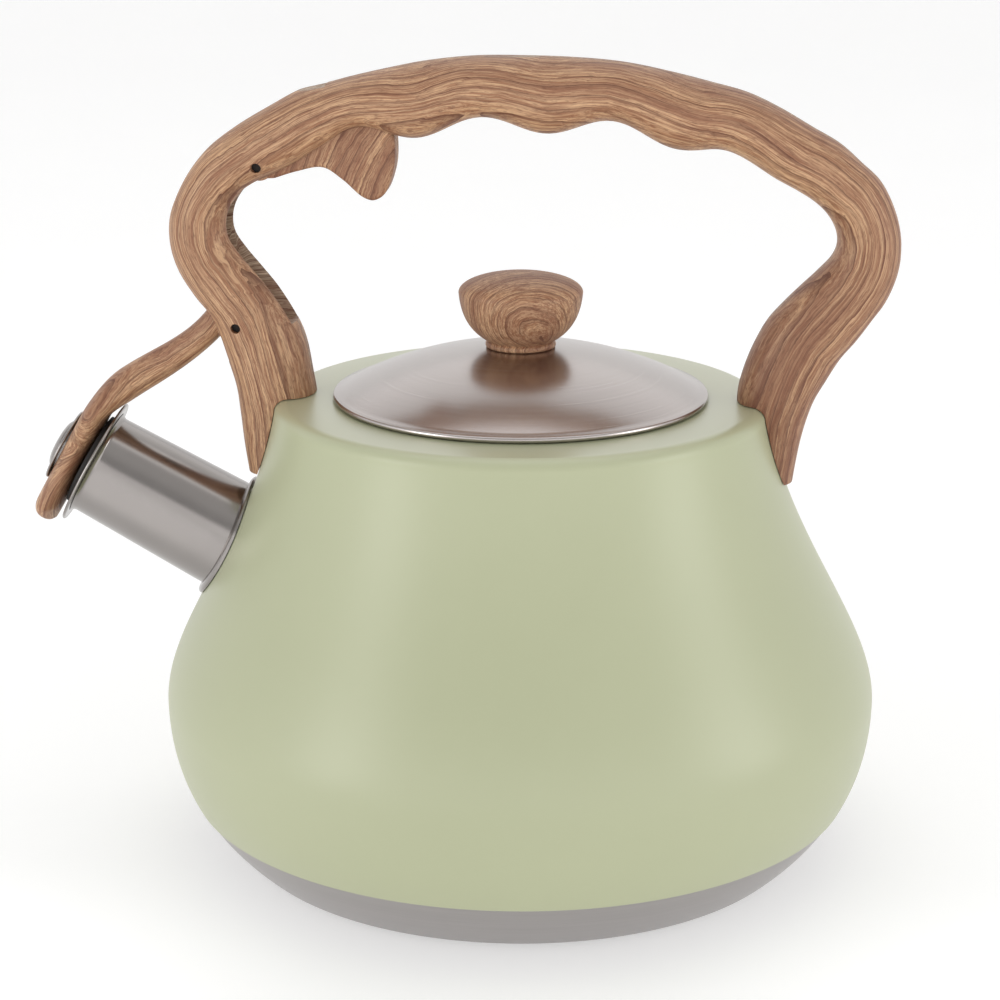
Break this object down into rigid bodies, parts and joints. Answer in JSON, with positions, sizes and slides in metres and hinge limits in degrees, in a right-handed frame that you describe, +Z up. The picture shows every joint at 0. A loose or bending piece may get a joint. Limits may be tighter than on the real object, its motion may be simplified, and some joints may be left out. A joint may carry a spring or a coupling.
{
  "type": "stovetop whistling kettle",
  "caption": "Bellied steel stovetop kettle with a slanted spout closed by a whistling lever, a lift-out lid with a knob, and a fixed C-shaped handle whose trigger opens the spout.",
  "frame": {"origin": "middle of the flat face the kettle stands on", "axes": "+Z up, the spout towards -X, the handle in the XZ plane"},
  "size_m": [0.2396, 0.2, 0.2227],
  "materials": {
    "paint": "sage green enamel paint, satin with a clear coat",
    "brushed_steel": "fine brushed stainless steel",
    "polished_steel": "polished stainless steel",
    "plain_steel": "plain steel",
    "core_aluminium": "mill finish",
    "insert_brass": "turned",
    "wood_grain_plastic": "heat-resistant plastic with a printed wood grain",
    "silicone": "matte black silicone"
  },
  "bodies": {
    "kettle": {"body_shell": "paint", "base_pan": "brushed_steel", "base_core": "core_aluminium", "base_cover": "brushed_steel", "spout_collar": "polished_steel", "spout_tube": "polished_steel", "spout_mouth_ring": "polished_steel", "handle": "wood_grain_plastic", "trigger_pin": "plain_steel", "lever_pin": "plain_steel", "handle_bracket_left": "plain_steel", "handle_bracket_right": "plain_steel", "handle_screw_left": "plain_steel", "handle_screw_right": "plain_steel", "lever_spring": "plain_steel"},
    "lid": {"lid_dome": "brushed_steel", "lid_skirt": "plain_steel", "lid_knob": "wood_grain_plastic", "knob_insert": "insert_brass", "knob_washer": "plain_steel", "knob_screw": "plain_steel"},
    "trigger": {"trigger": "wood_grain_plastic"},
    "spout_lever": {"spout_lever": "wood_grain_plastic", "whistle_cap": "polished_steel", "whistle_plate": "polished_steel", "whistle_gasket": "silicone"}
  },
  "joints": [
    {"name": "lid_lift", "type": "slide", "parent": "kettle", "child": "lid", "axis": [0, 0, 1], "range_m": [0, 0.03]},
    {"name": "lever_swing", "type": "hinge", "parent": "kettle", "child": "spout_lever", "pos_m": [-0.0775, 0, 0.1492], "axis": [0, 1, 0], "range_deg": [0, 25.6], "stiffness_Nm_per_rad": 0.05, "springref_deg": -28.65, "deforming": ["lever_spring"]},
    {"name": "trigger_pull", "type": "hinge", "parent": "kettle", "child": "trigger", "pos_m": [-0.0708, 0, 0.1933], "axis": [0, -1, 0], "range_deg": [0, 16]}
  ],
  "couplings": [
    {"joint": "trigger_pull", "follows": "lever_swing", "ratio": 0.625}
  ]
}
